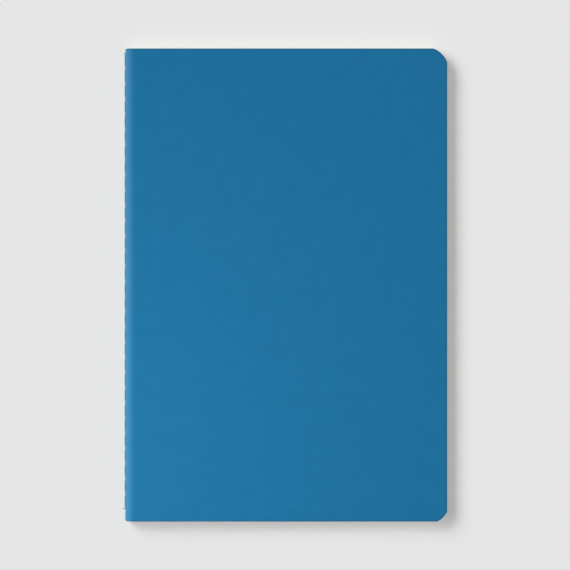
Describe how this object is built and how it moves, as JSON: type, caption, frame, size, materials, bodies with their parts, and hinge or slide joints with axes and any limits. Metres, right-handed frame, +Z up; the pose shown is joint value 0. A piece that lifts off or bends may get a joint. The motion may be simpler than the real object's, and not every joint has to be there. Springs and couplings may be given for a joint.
{
  "type": "thread-sewn softcover notebook",
  "caption": "Soft card notebook: folded sheets nested in a card cover, machine-sewn through the spine fold, with rounded fore-edge corners. Opens in the middle and at both covers.",
  "frame": {"origin": "centre of the outline, seam included, on the surface that the closed notebook lies on, which is the back cover's outer face", "axes": "+X from the spine to the fore-edge, +Y to the head of the page, +Z up through the front cover"},
  "size_m": [0.1432, 0.21, 0.0056],
  "materials": {
    "cover_card": "matte dyed card",
    "page_paper": "uncoated writing paper",
    "sewing_thread": "twisted sewing thread"
  },
  "bodies": {
    "back_leaves": {"sheet_01_back_leaf": "page_paper", "sheet_02_back_leaf": "page_paper", "sheet_03_back_leaf": "page_paper", "sheet_04_back_leaf": "page_paper", "sheet_05_back_leaf": "page_paper", "sheet_06_back_leaf": "page_paper", "sheet_07_back_leaf": "page_paper", "sheet_08_back_leaf": "page_paper", "sheet_09_back_leaf": "page_paper", "sheet_10_back_leaf": "page_paper", "sheet_11_back_leaf": "page_paper", "sheet_12_back_leaf": "page_paper"},
    "spine": {"cover_spine": "cover_card", "sheet_01_fold": "page_paper", "sheet_02_fold": "page_paper", "sheet_03_fold": "page_paper", "sheet_04_fold": "page_paper", "sheet_05_fold": "page_paper", "sheet_06_fold": "page_paper", "sheet_07_fold": "page_paper", "sheet_08_fold": "page_paper", "sheet_09_fold": "page_paper", "sheet_10_fold": "page_paper", "sheet_11_fold": "page_paper", "sheet_12_fold": "page_paper", "needle_thread": "sewing_thread", "bobbin_thread": "sewing_thread"},
    "front_leaves": {"sheet_01_front_leaf": "page_paper", "sheet_02_front_leaf": "page_paper", "sheet_03_front_leaf": "page_paper", "sheet_04_front_leaf": "page_paper", "sheet_05_front_leaf": "page_paper", "sheet_06_front_leaf": "page_paper", "sheet_07_front_leaf": "page_paper", "sheet_08_front_leaf": "page_paper", "sheet_09_front_leaf": "page_paper", "sheet_10_front_leaf": "page_paper", "sheet_11_front_leaf": "page_paper", "sheet_12_front_leaf": "page_paper"},
    "front_cover": {"front_cover": "cover_card"},
    "back_cover": {"back_cover": "cover_card"}
  },
  "joints": [
    {"name": "open_middle", "type": "hinge", "parent": "back_leaves", "child": "front_leaves", "pos_m": [-0.06886, 0, 0.0028], "axis": [0, -1, 0], "range_deg": [0, 179]},
    {"name": "spine_turn", "type": "hinge", "parent": "back_leaves", "child": "spine", "pos_m": [-0.06886, 0, 0.0028], "axis": [0, -1, 0], "range_deg": [0, 90]},
    {"name": "open_front_cover", "type": "hinge", "parent": "front_leaves", "child": "front_cover", "pos_m": [-0.06616, 0, 0.0057], "axis": [0, -1, 0], "range_deg": [0, 179]},
    {"name": "open_back_cover", "type": "hinge", "parent": "back_leaves", "child": "back_cover", "pos_m": [-0.06616, 0, -0.00045], "axis": [0, 1, 0], "range_deg": [0, 179]}
  ],
  "couplings": [
    {"joint": "spine_turn", "follows": "open_middle", "ratio": 0.5}
  ]
}
